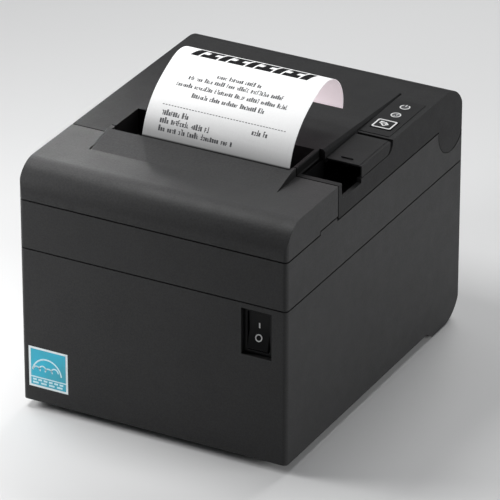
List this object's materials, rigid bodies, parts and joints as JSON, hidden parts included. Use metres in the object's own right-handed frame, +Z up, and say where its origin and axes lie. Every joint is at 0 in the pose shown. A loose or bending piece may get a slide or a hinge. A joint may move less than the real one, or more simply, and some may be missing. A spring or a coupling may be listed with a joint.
{
  "type": "receipt printer",
  "caption": "Box-shaped thermal receipt printer with a drop-in paper roll, a rear-hinged paper cover with a lever latch, an auto cutter and a curled paper receipt leaving the top slot.",
  "frame": {"origin": "on the table under the middle of the body", "axes": "front faces -Y, +X is the right side seen from the front, +Z up"},
  "size_m": [0.145, 0.188, 0.1651],
  "materials": {
    "case_plastic": "fine grained charcoal moulding",
    "black_plastic": "satin black moulding",
    "glossy_black": "smooth black moulding",
    "white_gear": "natural white acetal",
    "steel": "plated sheet and rod",
    "aluminium": "satin heat sink",
    "blade_steel": "ground blade",
    "brass": "turned brass",
    "rubber_black": "matt rubber",
    "board_green": "coated circuit board",
    "parts_dark": "moulded component bodies",
    "label_grey": "printed film",
    "sticker_blue": "printed paper sticker",
    "paper": "thermal paper",
    "card": "wound card",
    "light_pipe": "smoked clear plastic",
    "cable": "flat flexible cable"
  },
  "bodies": {
    "base": {"lower_case": "case_plastic", "middle_case": "case_plastic", "bottom_plate": "steel", "rubber_feet": "rubber_black", "base_screws": "steel", "front_sticker": "sticker_blue", "paper_bucket": "black_plastic", "bucket_screws": "steel", "hinge_brackets": "case_plastic", "mechanism_frame": "steel", "frame_posts": "steel", "head_springs": "steel", "head_cable": "cable", "feed_motor": "steel", "idler_axle": "steel", "cutter_frame": "steel", "cutter_motor": "black_plastic", "cover_switch": "black_plastic", "main_board": "board_green", "board_components": "parts_dark", "interface_plate": "steel", "power_inlet": "black_plastic", "drawer_port": "black_plastic", "usb_port": "steel", "network_port": "steel", "switch_housing": "glossy_black", "paper_sensor": "black_plastic", "paper_web": "paper"},
    "top_front": {"front_cover": "case_plastic"},
    "lid": {"paper_cover": "case_plastic", "cover_liner": "black_plastic", "cover_screws": "steel", "hinge_pins": "steel", "platen_brackets": "steel", "platen_bushes": "brass", "blade_holder": "black_plastic", "fixed_blade": "blade_steel", "lever_pin": "steel", "control_label": "label_grey", "light_pipes": "light_pipe", "panel_board": "board_green", "panel_parts": "parts_dark", "receipt": "paper"},
    "lever": {"cover_lever": "case_plastic"},
    "latch": {"latch_shaft": "steel", "latch_hooks": "steel"},
    "button": {"feed_button": "label_grey"},
    "platen": {"platen_roller": "rubber_black", "platen_shaft": "steel", "platen_gear": "white_gear"},
    "idler": {"idler_gear": "white_gear"},
    "motor_rotor": {"motor_pinion": "brass"},
    "roll": {"paper_roll": "paper", "roll_core": "card"},
    "head": {"print_head": "aluminium"},
    "cutter_blade": {"moving_blade": "blade_steel"},
    "cutter_drive": {"cutter_pinion": "brass"},
    "rocker": {"power_rocker": "glossy_black"}
  },
  "joints": [
    {"name": "paper_cover_hinge", "type": "hinge", "parent": "base", "child": "lid", "pos_m": [0, 0.08, 0.1113], "axis": [-1, 0, 0], "range_deg": [0, 70]},
    {"name": "front_cover_slide", "type": "slide", "parent": "base", "child": "top_front", "axis": [0, -1, 0], "range_m": [0, 0.012]},
    {"name": "cover_lever_hinge", "type": "hinge", "parent": "lid", "child": "lever", "pos_m": [0.063, 0.009, 0.1256], "axis": [-1, 0, 0], "range_deg": [0, 20], "stiffness_Nm_per_rad": 0.05, "springref_deg": -5.73},
    {"name": "latch_turn", "type": "hinge", "parent": "lid", "child": "latch", "pos_m": [0.0078, -0.026, 0.113], "axis": [1, 0, 0], "range_deg": [0, 12.5]},
    {"name": "feed_button_press", "type": "slide", "parent": "lid", "child": "button", "axis": [0, 0, -1], "range_m": [0, 0.0008], "stiffness_N_per_m": 300, "springref_m": -0.0005},
    {"name": "platen_spin", "type": "hinge", "parent": "lid", "child": "platen", "pos_m": [0.0078, -0.0379, 0.1113], "axis": [1, 0, 0], "continuous": true},
    {"name": "idler_spin", "type": "hinge", "parent": "base", "child": "idler", "pos_m": [-0.0453, -0.04709, 0.09401], "axis": [1, 0, 0], "continuous": true},
    {"name": "motor_spin", "type": "hinge", "parent": "base", "child": "motor_rotor", "pos_m": [-0.0453, -0.06286, 0.08078], "axis": [1, 0, 0], "continuous": true},
    {"name": "roll_spin", "type": "hinge", "parent": "base", "child": "roll", "pos_m": [0.0078, 0.012, 0.0553], "axis": [1, 0, 0], "continuous": true},
    {"name": "print_head_tilt", "type": "hinge", "parent": "base", "child": "head", "pos_m": [0.0078, -0.0492, 0.1], "axis": [1, 0, 0], "range_deg": [0, 2.5], "stiffness_Nm_per_rad": 2, "springref_deg": -2.86, "deforming": ["head_springs"]},
    {"name": "cutter_stroke", "type": "slide", "parent": "base", "child": "cutter_blade", "axis": [0, 1, 0], "range_m": [0, 0.0092]},
    {"name": "cutter_pinion_spin", "type": "hinge", "parent": "base", "child": "cutter_drive", "pos_m": [0.0208, -0.07, 0.118], "axis": [0, 0, 1], "range_deg": [0, 88.5]},
    {"name": "power_rocker_tip", "type": "hinge", "parent": "base", "child": "rocker", "pos_m": [0.0563, -0.0886, 0.0718], "axis": [1, 0, 0], "range_deg": [0, 14]}
  ],
  "couplings": [
    {"joint": "latch_turn", "follows": "cover_lever_hinge", "ratio": 0.6},
    {"joint": "idler_spin", "follows": "platen_spin", "ratio": -0.3},
    {"joint": "motor_spin", "follows": "platen_spin", "ratio": 0.81818},
    {"joint": "roll_spin", "follows": "platen_spin", "ratio": 0.25},
    {"joint": "cutter_pinion_spin", "follows": "cutter_stroke", "rad_per_m": 166.67}
  ]
}
